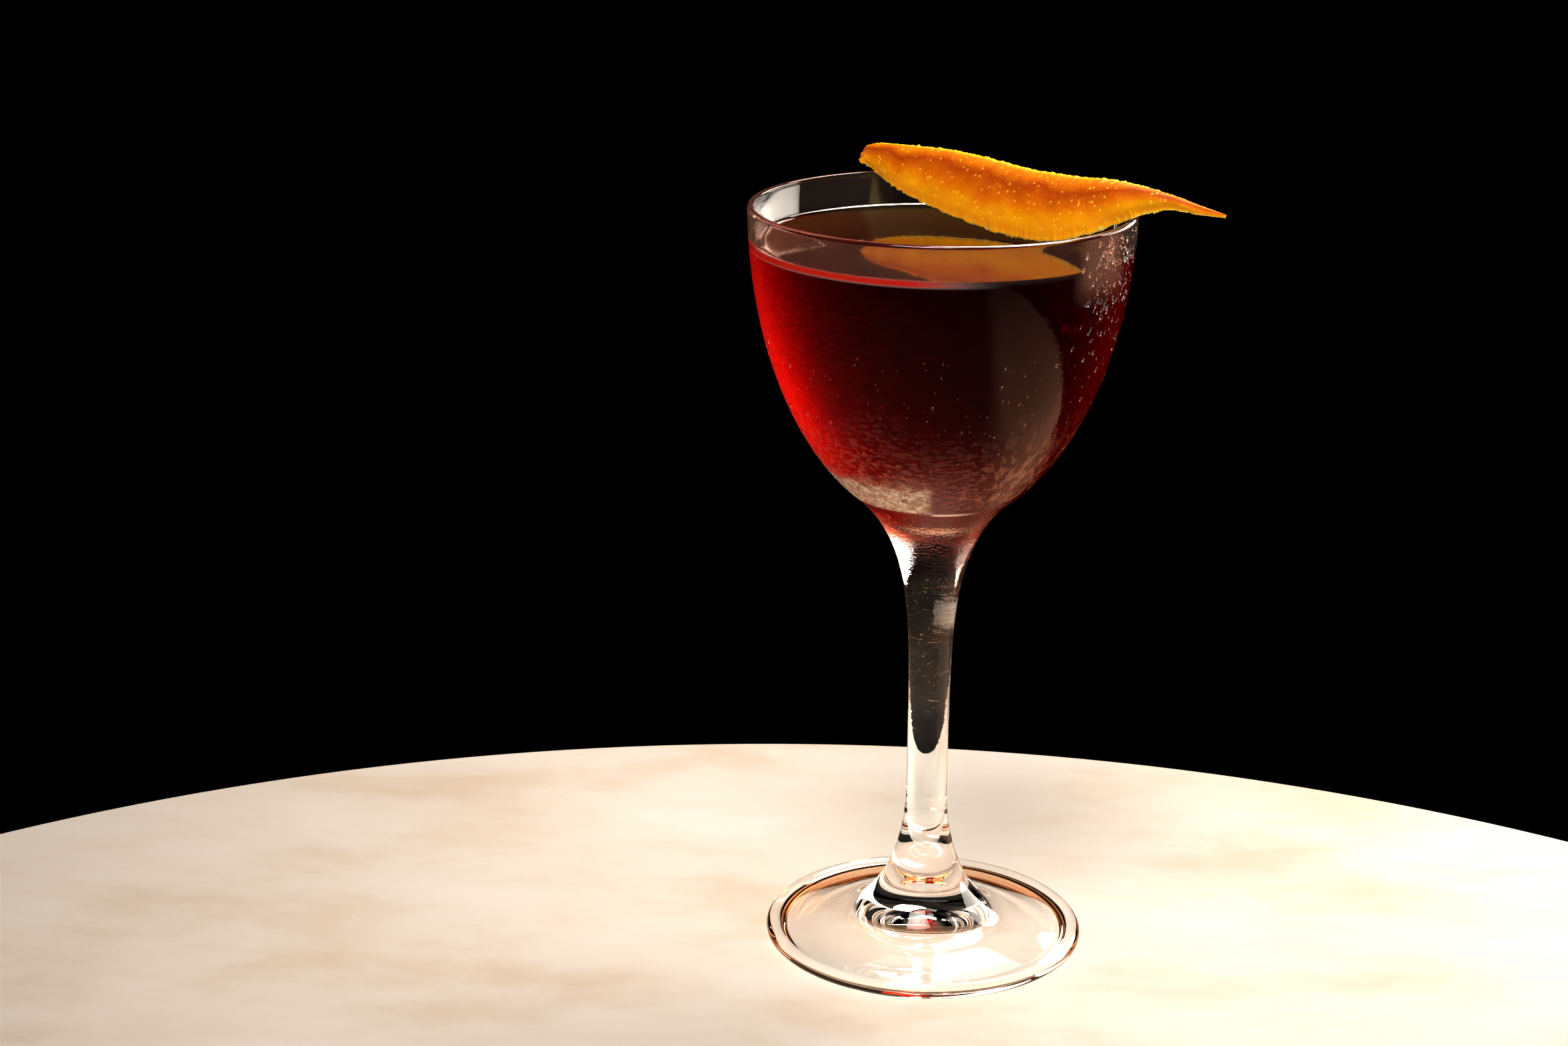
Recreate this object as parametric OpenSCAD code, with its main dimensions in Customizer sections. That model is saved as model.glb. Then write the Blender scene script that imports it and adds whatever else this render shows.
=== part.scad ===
// Small stemmed cocktail glass with a rounded bowl, filled, and a twist of citrus peel across its mouth.
// Millimetres. Origin at the centre of the foot's resting plane, +Z up, the drinker's side at -Y.

/* [Bowl] */
// Outside diameter of the mouth
rim_diameter = 68; // [56:0.5:80]
// Height of the whole glass
glass_height = 138; // [120:0.5:160]
// Thickness of the wall at the lip
rim_wall = 1.2; // [0.8:0.05:2]
// Height of the bowl's outer ellipse, from its widest level down
bowl_drop = 58.5; // [45:0.5:70]
// Height of the widest level above the lip
widest_above_lip = 0.8; // [0:0.1:4]
// Thickness of glass between the bowl's inner and outer ellipses at the bottom
bowl_bottom_wall = 0.6; // [0.4:0.1:3]
// Height where the round bowl turns into the flare of the stem
bowl_turn_height = 86; // [80:0.5:95]

/* [Stem] */
// Radius of the stem below the bowl's flare
stem_top_radius = 3.78; // [3:0.02:6]
// Radius of the stem above the foot's flare
stem_low_radius = 3.72; // [3:0.02:6]
// Height where the bowl's flare ends
flare_end_height = 43.5; // [35:0.5:60]
// Length of the flare's tangent at the bowl
flare_bowl_pull = 13; // [6:0.5:20]
// Length of the flare's tangent at the stem
flare_stem_pull = 21.8; // [8:0.2:30]
// Height where the stem starts to spread into the foot
foot_flare_height = 29; // [20:0.5:35]
// Length of the lower flare's tangent at the stem
foot_flare_pull = 14; // [8:0.5:18]

/* [Foot] */
// Diameter of the foot
foot_diameter = 58.5; // [50:0.5:70]
// Height of the rolled edge
edge_height = 2.8; // [2:0.1:4]
// Radius where the stem's flare has flattened into the disc
disc_start_radius = 17; // [12:0.5:20]
// Height of the disc's upper face at that radius
disc_start_height = 3.9; // [3:0.1:6]
// Length of the lower flare's tangent at the disc
disc_flare_pull = 7; // [3:0.5:10]
// Width of the flat ring the foot stands on, inwards from the roll's lowest line
rest_width = 0.75; // [0.4:0.05:2]
// Height of the hollow under the middle of the foot
hollow_height = 5.6; // [2:0.1:8]

/* [Drink] */
// Distance from the lip down to the surface of the drink
fill_gap = 6.5; // [3:0.1:30]
// Height the drink climbs at the wall
climb_height = 0.4; // [0.3:0.1:1.5]
// Width of the climbing edge
climb_width = 1.6; // [1:0.1:4]

/* [Peel] */
// Height of the peel's resting line above the lip
peel_gap = 0.52; // [0.3:0.05:4]
// Angle between the peel's sheet and the level
peel_tilt = 58; // [20:1:70]
// Direction of the back-left resting point, counted from +X
peel_start_angle = 112.4; // [90:0.1:140]
// Direction of the front-right resting point, counted from +X
peel_end_angle = -16.6; // [-40:0.1:0]
// Rise of the middle of the sheet over its edges
peel_bow = 1.3; // [0:0.1:3]
// Wave of the sheet along its length
peel_wave = 0.5; // [0:0.1:2]
// Thickness of the coloured skin
zest_thickness = 0.6; // [0.3:0.05:1.2]
// Thickness of the white layer
pith_thickness = 0.9; // [0.4:0.05:2]

/* [Hidden] */
$fn = 96;

// point at t on a cubic curve with four control points
function bezier(p, t) =
    pow(1 - t, 3) * p[0] + 3 * t * pow(1 - t, 2) * p[1] + 3 * t * t * (1 - t) * p[2] + pow(t, 3) * p[3];

// point at the angle a below the level on a quarter ellipse around the glass's axis
function ellipse_point(half_width, drop, a) = [half_width * cos(a), widest_z - drop * sin(a)];

// outer and inner ellipses of the bowl
rim_radius = rim_diameter / 2;
widest_z = glass_height + widest_above_lip;
inner_radius = rim_radius - rim_wall;
inner_drop = bowl_drop - bowl_bottom_wall;
lip_z = glass_height - rim_wall / 2;
outer_lip_angle = asin((widest_z - lip_z) / bowl_drop);
outer_turn_angle = asin((widest_z - bowl_turn_height) / bowl_drop);
inner_lip_angle = asin((widest_z - lip_z) / inner_drop);

// flare between bowl and stem, tangent to the ellipse and to the stem
turn_point = ellipse_point(rim_radius, bowl_drop, outer_turn_angle);
turn_slope = [-rim_radius * sin(outer_turn_angle), -bowl_drop * cos(outer_turn_angle)];
turn_way = turn_slope / norm(turn_slope);
upper_flare = [
    turn_point,
    turn_point + flare_bowl_pull * turn_way,
    [stem_top_radius, flare_end_height + flare_stem_pull],
    [stem_top_radius, flare_end_height]
];
// share of the flare that belongs to the bowl
bowl_share = 0.25;

// flare between stem and foot
rolled_radius = edge_height / 2;
foot_radius = foot_diameter / 2;
roll_centre = [foot_radius - rolled_radius, rolled_radius];
roll_start_angle = 130;
roll_start = roll_centre + rolled_radius * [cos(roll_start_angle), sin(roll_start_angle)];
disc_start = [disc_start_radius, disc_start_height];
disc_way = (disc_start - roll_start) / norm(disc_start - roll_start);
lower_flare = [
    [stem_low_radius, foot_flare_height],
    [stem_low_radius, foot_flare_height - foot_flare_pull],
    disc_start + disc_flare_pull * disc_way,
    disc_start
];
// share of the lower flare that belongs to the stem
stem_share = 0.5;

// underside of the foot: resting ring, small round, shallow slope and level middle
rest_inner = [roll_centre[0] - rest_width, 0];
round_width = 0.9;
round_height = 0.8;
slope_point = [14, 1.2];
level_radius = 6;

// drink
surface_z = glass_height - fill_gap;
drink_edge_angle = asin((widest_z - surface_z - climb_height) / inner_drop);

// peel: resting points on the lip, sheet axes
lip_mid_radius = rim_radius - rim_wall / 2;
peel_start = [
    lip_mid_radius * cos(peel_start_angle),
    lip_mid_radius * sin(peel_start_angle),
    glass_height + peel_gap
];
peel_end = [
    lip_mid_radius * cos(peel_end_angle),
    lip_mid_radius * sin(peel_end_angle),
    glass_height + peel_gap
];
along = (peel_end - peel_start) / norm(peel_end - peel_start);
level_across = [-along[1], along[0], 0];
across = cos(peel_tilt) * level_across + sin(peel_tilt) * [0, 0, 1];
outward = cross(along, across);

// stations of the peel: distance along, lower edge, upper edge
PEEL_STATIONS = [
    [-4.0, 1.3, 2.5],
    [-1.0, 0.2, 4.3],
    [6.0, -2.5, 5.2],
    [16.0, -4.8, 5.8],
    [26.0, -6.3, 5.6],
    [36.0, -7.3, 5.0],
    [46.0, -6.8, 5.3],
    [53.0, -4.3, 5.9],
    [58.0, -1.6, 5.9],
    [61.5, 0.4, 5.7],
    [65.0, 1.8, 5.4],
    [68.5, 2.7, 5.0],
    [73.0, 2.7, 4.3],
    [78.8, 3.0, 3.5]
];
peel_last = len(PEEL_STATIONS) - 1;

// station read as a smooth curve through its neighbours
function station(k) = PEEL_STATIONS[min(max(k, 0), peel_last)];
function smooth_station(x) =
    let (k = min(floor(x), peel_last - 1), f = x - k)
    let (a = station(k - 1), b = station(k), c = station(k + 1), d = station(k + 2))
    0.5 * (2 * b + (c - a) * f + (2 * a - 5 * b + 4 * c - d) * f * f + (3 * b - a - 3 * c + d) * f * f * f);

peel_steps = 66;
peel_lanes = 10;
// share of the thickness left at the cut edges and at the two ends, and how fast it grows from the ends
edge_share = 0.3;
start_share = 0.2;
end_share = 0.1;
start_growth = 6;
end_growth = 4;
// width share around which the wave turns
wave_pivot = 0.3;

// height of the sheet's under face over its flat plane, at length share u and width share w
function sheet_lift(u, w) =
    peel_bow * sin(180 * u) * (1 - pow(2 * w - 1, 2)) + peel_wave * sin(360 * u) * (w - wave_pivot);
// thickness share, thinner towards the cut edges and the ends
function end_taper(u) = min(1, start_growth * u + start_share, end_growth * (1 - u) + end_share);
function body_share(u, w) = edge_share + (1 - edge_share) * (1 - pow(2 * w - 1, 4)) * end_taper(u);
// point of a face that lies the height h over the under face
function peel_point(u, w, h) =
    let (s = smooth_station(u * peel_last))
    let (t = s[1] + (s[2] - s[1]) * w)
    peel_start + s[0] * along + t * across + (sheet_lift(u, w) + h * body_share(u, w)) * outward;

// closed sheet between two heights over the peel's under face
module peel_sheet(low, high) {
    lanes = peel_lanes + 1;
    count = (peel_steps + 1) * lanes;
    points = [
        for (h = [low, high])
            for (i = [0:peel_steps])
                for (j = [0:peel_lanes])
                    peel_point(i / peel_steps, j / peel_lanes, h)
    ];
    under = [
        for (i = [0:peel_steps - 1])
            for (j = [0:peel_lanes - 1])
                for (f = [0, 1])
                    let (a = i * lanes + j)
                    f == 0 ? [a, a + lanes, a + lanes + 1] : [a, a + lanes + 1, a + 1]
    ];
    upper = [for (f = under) [count + f[0], count + f[2], count + f[1]]];
    border = concat(
        [for (i = [0:peel_steps]) i * lanes],
        [for (j = [1:peel_lanes]) peel_steps * lanes + j],
        [for (i = [1:peel_steps]) (peel_steps - i) * lanes + peel_lanes],
        [for (j = [1:peel_lanes - 1]) peel_lanes - j]
    );
    sides = [
        for (k = [0:len(border) - 1])
            for (f = [0, 1])
                let (a = border[k], b = border[(k + 1) % len(border)])
                f == 0 ? [a, count + b, b] : [a, count + a, count + b]
    ];
    polyhedron(points = points, faces = concat(under, upper, sides), convexity = 6);
}

module bowl() {
    outer_steps = 26;
    inner_steps = 26;
    lip_steps = 10;
    flare_steps = 5;
    lip_outer = ellipse_point(rim_radius, bowl_drop, outer_lip_angle);
    lip_inner = ellipse_point(inner_radius, inner_drop, inner_lip_angle);
    lip_centre = (lip_outer + lip_inner) / 2;
    lip_radius = (lip_outer[0] - lip_inner[0]) / 2;
    joint = bezier(upper_flare, bowl_share);
    color([0.9, 0.95, 0.96, 0.35])
        rotate_extrude()
            polygon(concat(
                [[0, joint[1]]],
                [for (k = [0:flare_steps - 1]) bezier(upper_flare, bowl_share * (1 - k / flare_steps))],
                [
                    for (k = [0:outer_steps - 1])
                        ellipse_point(rim_radius, bowl_drop,
                            outer_turn_angle + (outer_lip_angle - outer_turn_angle) * k / outer_steps)
                ],
                [
                    for (k = [0:lip_steps])
                        lip_centre + lip_radius * [cos(180 * k / lip_steps), sin(180 * k / lip_steps)]
                ],
                [ellipse_point(inner_radius, inner_drop, (inner_lip_angle + drink_edge_angle) / 2)],
                [
                    for (k = [0:inner_steps])
                        ellipse_point(inner_radius, inner_drop,
                            drink_edge_angle + (90 - drink_edge_angle) * k / inner_steps)
                ]
            ));
}

module stem() {
    flare_steps = 14;
    foot_steps = 9;
    joint = bezier(upper_flare, bowl_share);
    foot_joint = bezier(lower_flare, stem_share);
    color([0.9, 0.95, 0.96, 0.35])
        rotate_extrude()
            polygon(concat(
                [[0, joint[1]]],
                [[0, foot_joint[1]]],
                [for (k = [0:foot_steps]) bezier(lower_flare, stem_share * (1 - k / foot_steps))],
                [for (k = [0:flare_steps]) bezier(upper_flare, 1 - (1 - bowl_share) * k / flare_steps)]
            ));
}

module foot() {
    flare_steps = 9;
    roll_steps = 14;
    hollow_steps = 14;
    foot_joint = bezier(lower_flare, stem_share);
    hollow = [
        rest_inner + [-round_width, round_height],
        slope_point,
        [level_radius, hollow_height],
        [0, hollow_height]
    ];
    color([0.9, 0.95, 0.96, 0.35])
        rotate_extrude()
            polygon(concat(
                [[0, foot_joint[1]]],
                [for (k = [0:hollow_steps]) bezier(hollow, 1 - k / hollow_steps)],
                [rest_inner + [-round_width / 2, round_height / 4]],
                [rest_inner],
                [
                    for (k = [0:roll_steps])
                        let (a = -90 + (90 + roll_start_angle) * k / roll_steps)
                        roll_centre + rolled_radius * [cos(a), sin(a)]
                ],
                [for (k = [0:flare_steps]) bezier(lower_flare, 1 - (1 - stem_share) * k / flare_steps)]
            ));
}

module drink() {
    inner_steps = 26;
    climb_steps = 6;
    edge = ellipse_point(inner_radius, inner_drop, drink_edge_angle);
    color([0.42, 0.01, 0.02, 0.9])
        rotate_extrude()
            polygon(concat(
                [[0, surface_z]],
                [
                    for (k = [0:inner_steps])
                        ellipse_point(inner_radius, inner_drop,
                            90 - (90 - drink_edge_angle) * k / inner_steps)
                ],
                [
                    for (k = [1:climb_steps])
                        [
                            edge[0] - climb_width * k / climb_steps,
                            surface_z + climb_height * pow(1 - k / climb_steps, 2)
                        ]
                ]
            ));
}

module peel_zest() {
    color([0.95, 0.5, 0.05])
        peel_sheet(pith_thickness, pith_thickness + zest_thickness);
}

module peel_pith() {
    color([0.97, 0.88, 0.66])
        peel_sheet(0, pith_thickness);
}

bowl();
stem();
foot();
drink();
peel_zest();
peel_pith();
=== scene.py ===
"""Looks of a small stemmed cocktail glass of dark red drink, with a twist of orange peel across its lip.

Metres, in the CAD frame: origin at the centre of the foot's resting plane, +Z up, the drinker's side at -Y.
"""
import math
import random

import bpy
import numpy as np
from mathutils import Matrix, Vector, noise


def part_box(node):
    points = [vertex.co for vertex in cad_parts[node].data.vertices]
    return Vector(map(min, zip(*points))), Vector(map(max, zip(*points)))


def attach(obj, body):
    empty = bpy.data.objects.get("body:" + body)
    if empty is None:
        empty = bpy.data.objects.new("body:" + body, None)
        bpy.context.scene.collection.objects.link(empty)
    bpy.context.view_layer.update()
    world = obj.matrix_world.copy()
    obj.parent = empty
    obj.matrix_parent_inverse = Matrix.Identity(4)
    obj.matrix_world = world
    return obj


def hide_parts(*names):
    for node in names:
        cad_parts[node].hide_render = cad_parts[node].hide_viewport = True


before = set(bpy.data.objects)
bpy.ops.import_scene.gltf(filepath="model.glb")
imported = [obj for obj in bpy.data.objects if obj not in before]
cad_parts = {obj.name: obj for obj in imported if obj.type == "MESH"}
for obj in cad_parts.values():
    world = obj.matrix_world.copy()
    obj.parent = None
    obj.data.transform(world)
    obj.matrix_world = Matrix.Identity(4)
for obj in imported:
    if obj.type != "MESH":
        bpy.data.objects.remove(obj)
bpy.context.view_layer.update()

MM = 0.001
SEED = 11

# ---------------------------------------------------------------- sizes, from the frame where it holds them

BOWL_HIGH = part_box("bowl")[1]
FOOT_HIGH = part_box("foot")[1]
DRINK_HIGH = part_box("drink")[1]

RIM_RADIUS = BOWL_HIGH.x
GLASS_HEIGHT = BOWL_HIGH.z
FOOT_RADIUS = FOOT_HIGH.x
RIM_WALL = 1.2 * MM
BOWL_DROP = 58.5 * MM
WIDEST_ABOVE_LIP = 0.8 * MM
BOTTOM_WALL = 0.6 * MM
TURN_HEIGHT = 86 * MM

STEM_TOP_RADIUS = 3.78 * MM
STEM_LOW_RADIUS = 3.72 * MM
FLARE_END_HEIGHT = 43.5 * MM
FLARE_BOWL_PULL = 13 * MM
FLARE_STEM_PULL = 21.8 * MM
FOOT_FLARE_HEIGHT = 29 * MM
FOOT_FLARE_PULL = 14 * MM
DISC_FLARE_PULL = 7 * MM
BOWL_SHARE = 0.25
STEM_SHARE = 0.5

EDGE_HEIGHT = 2.8 * MM
DISC_START = (17 * MM, 3.9 * MM)
ROLL_START_ANGLE = 130
REST_WIDTH = 0.75 * MM
ROUND_WIDTH = 0.9 * MM
ROUND_HEIGHT = 0.8 * MM
SLOPE_POINT = (14 * MM, 1.2 * MM)
LEVEL_RADIUS = 6 * MM
HOLLOW_HEIGHT = 5.6 * MM

CLIMB_HEIGHT = 0.4 * MM
CLIMB_WIDTH = 1.6 * MM

PEEL_GAP = 0.52 * MM
PEEL_TILT = 58
PEEL_START_ANGLE = 112.4
PEEL_END_ANGLE = -16.6
PEEL_BOW = 1.3 * MM
PEEL_WAVE = 0.5 * MM
WAVE_PIVOT = 0.3
ZEST_THICKNESS = 0.6 * MM
PITH_THICKNESS = 0.9 * MM
# distance along the peel, lower edge, upper edge, in millimetres
PEEL_STATIONS = [
    (-4.0, 0.7, 3.6),
    (-1.0, 0.1, 4.6),
    (6.0, -2.5, 5.2),
    (16.0, -4.8, 5.8),
    (26.0, -6.3, 5.6),
    (36.0, -7.3, 5.0),
    (46.0, -6.8, 5.3),
    (53.0, -4.3, 5.9),
    (58.0, -1.6, 5.9),
    (61.5, 0.4, 5.7),
    (65.0, 1.8, 5.4),
    (68.5, 2.7, 5.0),
    (73.0, 2.7, 4.3),
    (78.8, 3.0, 3.5),
]

WIDEST_Z = GLASS_HEIGHT + WIDEST_ABOVE_LIP
INNER_RADIUS = RIM_RADIUS - RIM_WALL
LIP_MID_RADIUS = RIM_RADIUS - RIM_WALL / 2
INNER_DROP = BOWL_DROP - BOTTOM_WALL
LIP_Z = GLASS_HEIGHT - RIM_WALL / 2
EDGE_Z = DRINK_HIGH.z
SURFACE_Z = EDGE_Z - CLIMB_HEIGHT

GLASS_IOR = 1.5
DRINK_IOR = 1.34
WATER_IOR = 1.33
TURNS = 256
ON_AXIS = 1e-7


# ---------------------------------------------------------------- outlines

def bezier(points, t):
    a, b, c, d = (np.array(p, float) for p in points)
    return (1 - t) ** 3 * a + 3 * t * (1 - t) ** 2 * b + 3 * t * t * (1 - t) * c + t ** 3 * d


def ellipse_point(half_width, drop, angle):
    return np.array([half_width * math.cos(angle), WIDEST_Z - drop * math.sin(angle)])


def ellipse_angle(drop, height):
    return math.asin((WIDEST_Z - height) / drop)


def ellipse_arc(half_width, drop, start, end, steps):
    return [ellipse_point(half_width, drop, start + (end - start) * k / steps) for k in range(steps + 1)]


OUTER_LIP_ANGLE = ellipse_angle(BOWL_DROP, LIP_Z)
OUTER_TURN_ANGLE = ellipse_angle(BOWL_DROP, TURN_HEIGHT)
INNER_LIP_ANGLE = ellipse_angle(INNER_DROP, LIP_Z)
DRINK_EDGE_ANGLE = ellipse_angle(INNER_DROP, EDGE_Z)

turn_point = ellipse_point(RIM_RADIUS, BOWL_DROP, OUTER_TURN_ANGLE)
turn_slope = np.array([-RIM_RADIUS * math.sin(OUTER_TURN_ANGLE), -BOWL_DROP * math.cos(OUTER_TURN_ANGLE)])
turn_way = turn_slope / np.linalg.norm(turn_slope)
UPPER_FLARE = [
    turn_point,
    turn_point + FLARE_BOWL_PULL * turn_way,
    (STEM_TOP_RADIUS, FLARE_END_HEIGHT + FLARE_STEM_PULL),
    (STEM_TOP_RADIUS, FLARE_END_HEIGHT),
]

ROLL_RADIUS = EDGE_HEIGHT / 2
ROLL_CENTRE = np.array([FOOT_RADIUS - ROLL_RADIUS, ROLL_RADIUS])


def roll_point(angle):
    return ROLL_CENTRE + ROLL_RADIUS * np.array([math.cos(angle), math.sin(angle)])


disc_start = np.array(DISC_START)
disc_run = disc_start - roll_point(math.radians(ROLL_START_ANGLE))
disc_way = disc_run / np.linalg.norm(disc_run)
LOWER_FLARE = [
    (STEM_LOW_RADIUS, FOOT_FLARE_HEIGHT),
    (STEM_LOW_RADIUS, FOOT_FLARE_HEIGHT - FOOT_FLARE_PULL),
    disc_start + DISC_FLARE_PULL * disc_way,
    disc_start,
]


def curve_part(points, start, end, steps):
    """Points of a cubic curve.

    One point lies close to each end, so that the shading runs straight on past a joint.
    """
    close = 0.02 / steps
    shares = [0, close] + [k / steps for k in range(1, steps)] + [1 - close, 1]
    return [bezier(points, start + (end - start) * s) for s in shares]


def outer_wall():
    """Outside of the bowl as (radius, height), from its joint with the stem up to the lip."""
    flare = curve_part(UPPER_FLARE, BOWL_SHARE, 0, 20)
    wall = ellipse_arc(RIM_RADIUS, BOWL_DROP, OUTER_TURN_ANGLE, OUTER_LIP_ANGLE, 70)
    return flare + wall[1:]


# ---------------------------------------------------------------- meshes

def new_piece(name, vertices, faces, materials, slots=None, smooth=True):
    mesh = bpy.data.meshes.new(name)
    mesh.from_pydata([tuple(v) for v in vertices], [], [tuple(f) for f in faces])
    for material in materials:
        mesh.materials.append(material)
    if slots is not None:
        mesh.polygons.foreach_set("material_index", np.array(slots, np.int32))
    mesh.polygons.foreach_set("use_smooth", np.full(len(mesh.polygons), smooth))
    mesh.validate()
    mesh.update()
    piece = bpy.data.objects.new(name, mesh)
    bpy.context.scene.collection.objects.link(piece)
    return piece


def lathe(name, outline, slots, materials, sharp=(), place=None):
    """Turns an outline of (radius, height) points around the axis.

    The solid lies to the left of the outline. slots[i] is the material of the strip after point i. sharp
    lists the points whose rings are hard edges. place moves each point (x, y, z), if it is given.
    """
    angles = [2 * math.pi * k / TURNS for k in range(TURNS)]
    vertices, rows, row_of = [], [], []
    for i, (radius, height) in enumerate(outline):
        if radius < ON_AXIS:
            rows.append([len(vertices)] * TURNS)
            vertices.append((0.0, 0.0, height))
            row_of.append(i)
            continue
        rows.append(range(len(vertices), len(vertices) + TURNS))
        vertices.extend((radius * math.cos(a), radius * math.sin(a), height) for a in angles)
        row_of.extend([i] * TURNS)
    if place is not None:
        vertices = [place(v) for v in vertices]
    faces, face_slots = [], []
    for i in range(len(outline) - 1):
        low, high = rows[i], rows[i + 1]
        for k in range(TURNS):
            n = (k + 1) % TURNS
            if low[k] == low[n]:
                faces.append((low[k], high[n], high[k]))
            elif high[k] == high[n]:
                faces.append((low[k], low[n], high[k]))
            else:
                faces.append((low[k], low[n], high[n], high[k]))
            face_slots.append(slots[i])
    piece = new_piece(name, vertices, faces, materials, face_slots)
    if sharp:
        mark_sharp(piece.data, np.array(row_of), sharp)
    return piece


def mark_sharp(mesh, row_of, sharp):
    """Makes the rings of the listed outline points hard edges."""
    ends = np.zeros(len(mesh.edges) * 2, np.int32)
    mesh.edges.foreach_get("vertices", ends)
    ends = ends.reshape(-1, 2)
    low, high = row_of[ends[:, 0]], row_of[ends[:, 1]]
    mesh.edges.foreach_set("use_edge_sharp", (low == high) & np.isin(low, sharp))


# ---------------------------------------------------------------- material helpers

class Shader:
    """One material with a Principled shader, and short ways to add nodes to it."""

    def __init__(self, name, **values):
        self.material = bpy.data.materials.new(name)
        self.material.use_nodes = True
        self.nodes = self.material.node_tree.nodes
        self.links = self.material.node_tree.links
        self.main = self.nodes["Principled BSDF"]
        self.output = self.nodes["Material Output"]
        for socket, value in values.items():
            self.main.inputs[socket.replace("_", " ")].default_value = value
        self.place = self.nodes.new("ShaderNodeTexCoord").outputs["Object"]

    def link(self, start, end):
        self.links.new(start, end)

    def node(self, kind, **inputs):
        made = self.nodes.new("ShaderNode" + kind)
        for key, value in inputs.items():
            self.feed(made.inputs[key.replace("_", " ")], value)
        return made

    def feed(self, socket, value):
        if isinstance(value, bpy.types.NodeSocket):
            self.link(value, socket)
        else:
            socket.default_value = value

    def stretched(self, x, y, z):
        made = self.node("Mapping", Vector=self.place)
        made.inputs["Scale"].default_value = (x, y, z)
        return made.outputs["Vector"]

    def noise(self, size, detail=3.0, rough=0.55, vector=None):
        place = vector or self.place
        made = self.node("TexNoise", Vector=place, Scale=1 / size, Detail=detail, Roughness=rough)
        return made.outputs["Fac"]

    def cells(self, size):
        return self.node("TexVoronoi", Vector=self.place, Scale=1 / size).outputs["Distance"]

    def ramp(self, factor, stops):
        made = self.node("ValToRGB", Fac=factor)
        elements = made.color_ramp.elements
        while len(elements) < len(stops):
            elements.new(0.5)
        for element, (position, colour) in zip(elements, stops):
            element.position = position
            element.color = (*colour, 1)
        return made.outputs["Color"]

    def spread(self, value, low, high, to_low=0.0, to_high=1.0):
        """Goes smoothly from to_low to to_high as the value goes from low to high."""
        made = self.node("MapRange", Value=value)
        made.interpolation_type = "SMOOTHSTEP"
        for key, number in zip(("From Min", "From Max", "To Min", "To Max"), (low, high, to_low, to_high)):
            made.inputs[key].default_value = number
        return made.outputs["Result"]

    def fade(self, value, low, high, start=1.0, end=0.0):
        """Falls smoothly from start to end as the value goes from low to high."""
        return self.spread(value, low, high, start, end)

    def maths(self, operation, *values):
        """One operation on its one or two values, or applied in turn along a longer row of them."""
        made = self.nodes.new("ShaderNodeMath")
        made.operation = operation
        for socket, value in zip(made.inputs, values[:2]):
            self.feed(socket, value)
        if len(values) > 2:
            return self.maths(operation, made.outputs[0], *values[2:])
        return made.outputs[0]

    def times(self, *values):
        return self.maths("MULTIPLY", *values)

    def largest(self, *values):
        return self.maths("MAXIMUM", *values)

    def between(self, factor, a, b):
        """Mix of two numbers."""
        made = self.node("Mix", Factor=factor)
        self.feed(made.inputs[2], a)
        self.feed(made.inputs[3], b)
        return made.outputs[0]

    def mix(self, factor, a, b):
        """Mix of two colours."""
        made = self.nodes.new("ShaderNodeMix")
        made.data_type = "RGBA"
        self.feed(made.inputs[0], factor)
        for socket, colour in ((made.inputs[6], a), (made.inputs[7], b)):
            self.feed(socket, colour if isinstance(colour, bpy.types.NodeSocket) else (*colour, 1))
        return made.outputs[2]

    def attribute(self, name):
        made = self.nodes.new("ShaderNodeAttribute")
        made.attribute_name = name
        return made.outputs["Fac"]

    def axes(self):
        made = self.node("SeparateXYZ", Vector=self.place)
        return made.outputs["X"], made.outputs["Y"], made.outputs["Z"]

    def bump(self, height, strength, depth, before=None):
        made = self.node("Bump", Strength=strength, Distance=depth, Height=height)
        if before is not None:
            self.link(before, made.inputs["Normal"])
        return made.outputs["Normal"]

    def set(self, socket, value):
        self.feed(self.main.inputs[socket], value)

    def open_up(self, share, colour):
        """Mixes in a clear shader, which passes light of the given colour, by a share from 0 to 1."""
        clear = self.node("BsdfTransparent", Color=colour)
        both = self.nodes.new("ShaderNodeMixShader")
        self.link(share, both.inputs[0])
        self.link(self.main.outputs["BSDF"], both.inputs[1])
        self.link(clear.outputs["BSDF"], both.inputs[2])
        self.link(both.outputs["Shader"], self.output.inputs["Surface"])

    def let_lamps_through(self):
        """Lamps shine straight through the surface, so that clear glass throws hardly any shadow."""
        self.open_up(self.nodes.new("ShaderNodeLightPath").outputs["Is Shadow Ray"], WHITE)


# ---------------------------------------------------------------- glass materials

WHITE = (1.0, 1.0, 1.0, 1.0)
CLEAR = (0.985, 0.99, 0.99, 1.0)
BEAD_SIZE = 0.5 * MM

# heights between which the wet zones of the bowl, its painted highlight and its painted red glows begin or
# end, from the bottom up
RED_GLOW_BELOW_START = (0.0765, 0.0810)
UNDER_END = (0.0855, 0.0867)
GLEAM_START = (0.0857, 0.0861)
FROST_START = (0.0860, 0.0868)
GLEAM_END = (0.0863, 0.0867)
FOLDS_START = (0.0865, 0.0885)
FROST_END = (0.0905, 0.0945)
FOLDS_THIN = (0.098, 0.116)
SWEAT_THIN = (0.100, 0.112)
WET_END = (0.124, 0.131)
PATCH_START = (0.125, 0.131)
RED_GLOW_LINE_START = (0.1306, 0.1312)
FOG_START = (0.1308, 0.1326)
RED_GLOW_LINE_END = (0.1318, 0.1324)
HIGH_SHARE = 0.12

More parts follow.
